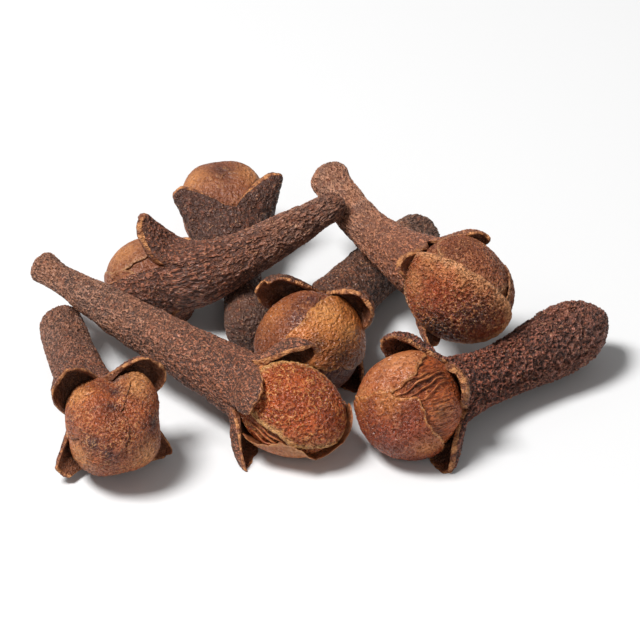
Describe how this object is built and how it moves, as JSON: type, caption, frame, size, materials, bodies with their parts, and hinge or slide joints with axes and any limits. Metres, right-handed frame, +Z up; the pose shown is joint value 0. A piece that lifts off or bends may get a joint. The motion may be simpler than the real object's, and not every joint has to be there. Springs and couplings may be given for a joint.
{
  "type": "loose heap of whole cloves",
  "caption": "Dried whole cloves in a small loose heap: wrinkled stems that widen into toothed cups, each holding a round bud.",
  "frame": {"origin": "middle of the heap's footprint, on the surface that the cloves lie on", "axes": "+X along the heap's longer side, +Y towards its back, +Z up"},
  "size_m": [0.0263, 0.0223, 0.0069],
  "materials": {
    "clove": "matt, finely wrinkled dry bark, with paler papery petals"
  },
  "bodies": {
    "root": {"clove_front_left": "clove", "clove_front_long": "clove", "clove_front_right": "clove", "clove_back_left": "clove", "clove_back_leaning": "clove", "clove_back_right": "clove", "clove_middle": "clove"}
  },
  "joints": []
}
